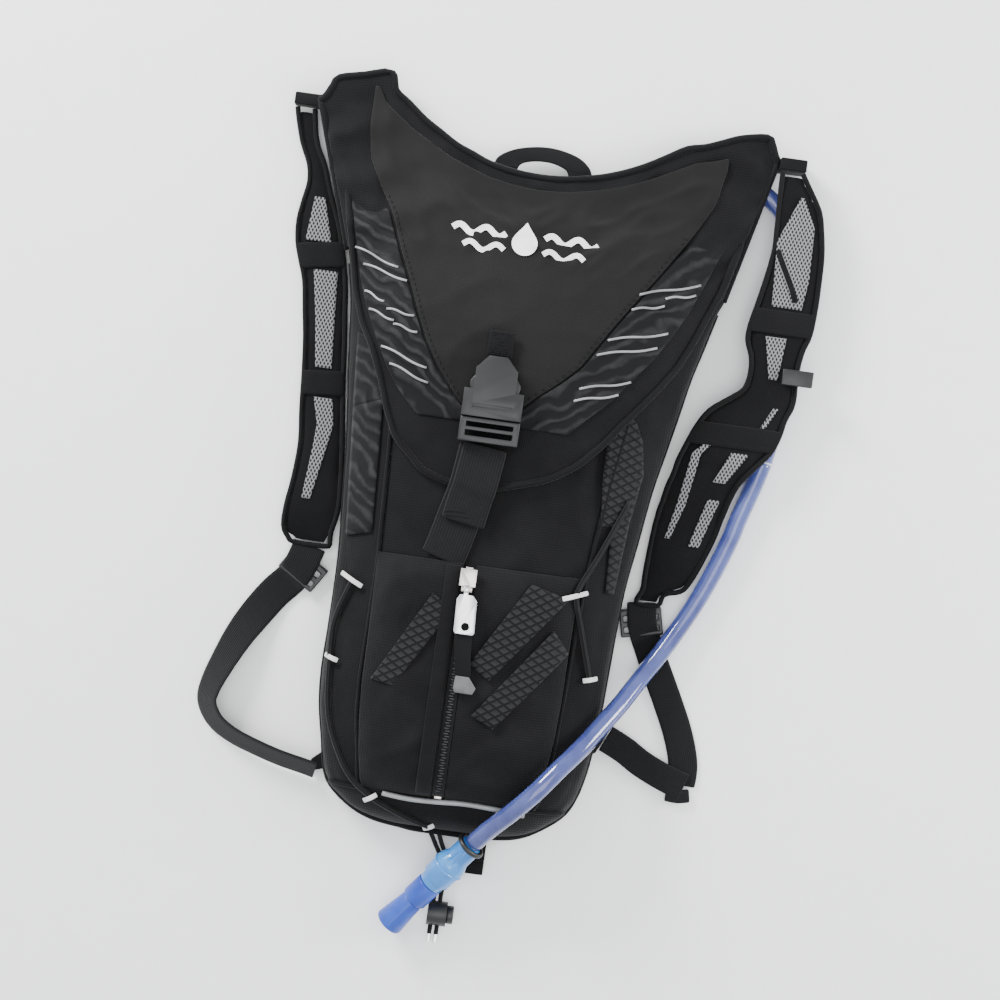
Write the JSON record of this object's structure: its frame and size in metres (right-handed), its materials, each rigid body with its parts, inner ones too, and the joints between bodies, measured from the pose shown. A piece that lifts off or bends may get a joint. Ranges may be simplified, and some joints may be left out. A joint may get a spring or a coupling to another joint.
{
  "type": "hydration pack",
  "caption": "Small black hydration backpack lying on its back, with a buckled flap, zip pocket, shoulder straps and a blue drinking hose.",
  "frame": {"origin": "the rest face of the back pad, on the body's centre line where the crown is highest", "axes": "+Z out of the front of the pack, +Y along the pack to the neck, +X to the wearer's right as the pack is seen from its front"},
  "size_m": [0.3184, 0.4871, 0.0628],
  "materials": {
    "fabric_black": "woven black polyester shell",
    "fabric_charcoal": "smooth charcoal stretch fabric",
    "binding_black": "ribbed black binding and webbing",
    "foam_black": "foam pad under black air mesh",
    "mesh_grey": "grey open mesh with black bars",
    "reflective": "silver grey reflective print and piping",
    "white_cord": "white stitched cord loops and printed mark",
    "plastic_black": "moulded black acetal",
    "metal": "nickel plated zip parts",
    "hose_clear": "clear tube with a violet blue tint",
    "valve_blue": "translucent light blue plastic",
    "bite_blue": "soft royal blue silicone",
    "bladder_film": "clear blue reservoir film"
  },
  "bodies": {
    "pack": {"back_pad": "foam_black", "back_panel": "fabric_black", "edge_binding": "binding_black", "front_panel": "fabric_black", "side_panel_left": "fabric_black", "side_panel_right": "fabric_black", "bottom_gusset": "fabric_black", "yoke": "fabric_black", "pocket_left": "fabric_black", "pocket_right": "fabric_black", "zip_placket": "binding_black", "zip_tape": "binding_black", "zip_coil": "plastic_black", "zip_stops": "metal", "reflective_piping": "reflective", "cord_loops": "white_cord", "shock_cord_left": "binding_black", "shock_cord_right": "binding_black", "bottom_tab": "binding_black", "haul_anchor": "binding_black", "strap_anchors": "binding_black", "webbing_tabs": "binding_black", "webbing_left": "binding_black", "webbing_right": "binding_black", "bladder": "bladder_film", "bladder_neck": "valve_blue", "bladder_elbow": "plastic_black", "bladder_hanger": "plastic_black", "hose_port": "binding_black", "hose_inside": "hose_clear", "hose_free": "hose_clear", "valve_body": "valve_blue", "cord_tail": "binding_black", "front_strap": "binding_black"},
    "flap": {"flap_panel": "fabric_charcoal", "flap_binding": "binding_black", "flap_dashes": "reflective", "flap_emblem": "white_cord", "buckle_tab": "binding_black", "buckle_female": "plastic_black"},
    "buckle_lower": {"buckle_male": "plastic_black"},
    "prong_l": {"prong_left": "plastic_black"},
    "prong_r": {"prong_right": "plastic_black"},
    "strap_left": {"strap_pad_left": "foam_black", "strap_trim_left": "mesh_grey", "ladder_lock_left": "plastic_black"},
    "strap_right": {"strap_pad_right": "foam_black", "strap_trim_right": "mesh_grey", "ladder_lock_right": "plastic_black", "hose_held": "hose_clear"},
    "sternum": {"sternum_clip": "plastic_black"},
    "slider": {"zip_slider": "metal"},
    "puller": {"zip_pull": "metal", "zip_pull_tape": "binding_black", "zip_badge": "reflective"},
    "haul": {"haul_loop": "binding_black"},
    "cord_lock": {"cord_lock_body": "plastic_black"},
    "lock_button": {"cord_lock_button": "plastic_black"},
    "cap": {"bladder_cap": "valve_blue"},
    "mouthpiece": {"bite_mouthpiece": "bite_blue"}
  },
  "joints": [
    {"name": "flap_hinge", "type": "hinge", "parent": "pack", "child": "flap", "pos_m": [0, 0.14, 0.0312], "axis": [-1, 0, 0], "range_deg": [0, 110]},
    {"name": "buckle_release", "type": "slide", "parent": "pack", "child": "buckle_lower", "axis": [0, -1, 0], "range_m": [0, 0.022], "deforming": ["front_strap"]},
    {"name": "prong_left_flex", "type": "hinge", "parent": "buckle_lower", "child": "prong_l", "pos_m": [-0.02, 0.0336, 0.0555], "axis": [0, 0, -1], "range_deg": [0, 7], "stiffness_Nm_per_rad": 0.02},
    {"name": "prong_right_flex", "type": "hinge", "parent": "buckle_lower", "child": "prong_r", "pos_m": [0.002, 0.0336, 0.0555], "axis": [0, 0, 1], "range_deg": [0, 7], "stiffness_Nm_per_rad": 0.02},
    {"name": "strap_left_lift", "type": "hinge", "parent": "pack", "child": "strap_left", "pos_m": [-0.138, 0.19, 0.009], "axis": [-1, 0, 0], "range_deg": [0, 20]},
    {"name": "strap_right_lift", "type": "hinge", "parent": "pack", "child": "strap_right", "pos_m": [0.14, 0.19, 0.02], "axis": [-1, 0, 0], "range_deg": [0, 20]},
    {"name": "sternum_slide", "type": "slide", "parent": "strap_right", "child": "sternum", "axis": [0, 1, 0], "range_m": [-0.012, 0.016]},
    {"name": "zip_slide", "type": "slide", "parent": "pack", "child": "slider", "axis": [0, -1, 0], "range_m": [0, 0.06]},
    {"name": "puller_swing", "type": "hinge", "parent": "slider", "child": "puller", "pos_m": [-0.009, -0.0675, 0.0606], "axis": [-1, 0, 0], "range_deg": [0, 150]},
    {"name": "haul_loop_lift", "type": "hinge", "parent": "pack", "child": "haul", "pos_m": [0, 0.1735, 0.0098], "axis": [1, 0, 0], "range_deg": [0, 90]},
    {"name": "cord_lock_slide", "type": "slide", "parent": "pack", "child": "cord_lock", "axis": [0, 1, 0], "range_m": [0, 0.006]},
    {"name": "lock_button_press", "type": "slide", "parent": "cord_lock", "child": "lock_button", "axis": [-1, 0, 0], "range_m": [0, 0.0028], "stiffness_N_per_m": 250},
    {"name": "cap_turn", "type": "hinge", "parent": "pack", "child": "cap", "pos_m": [-0.008, 0.025, 0.0365], "axis": [0, 0, 1], "range_deg": [0, 360]},
    {"name": "mouthpiece_pull", "type": "slide", "parent": "pack", "child": "mouthpiece", "axis": [-0.5752, -0.7576, -0.3086], "range_m": [0, 0.004]}
  ]
}
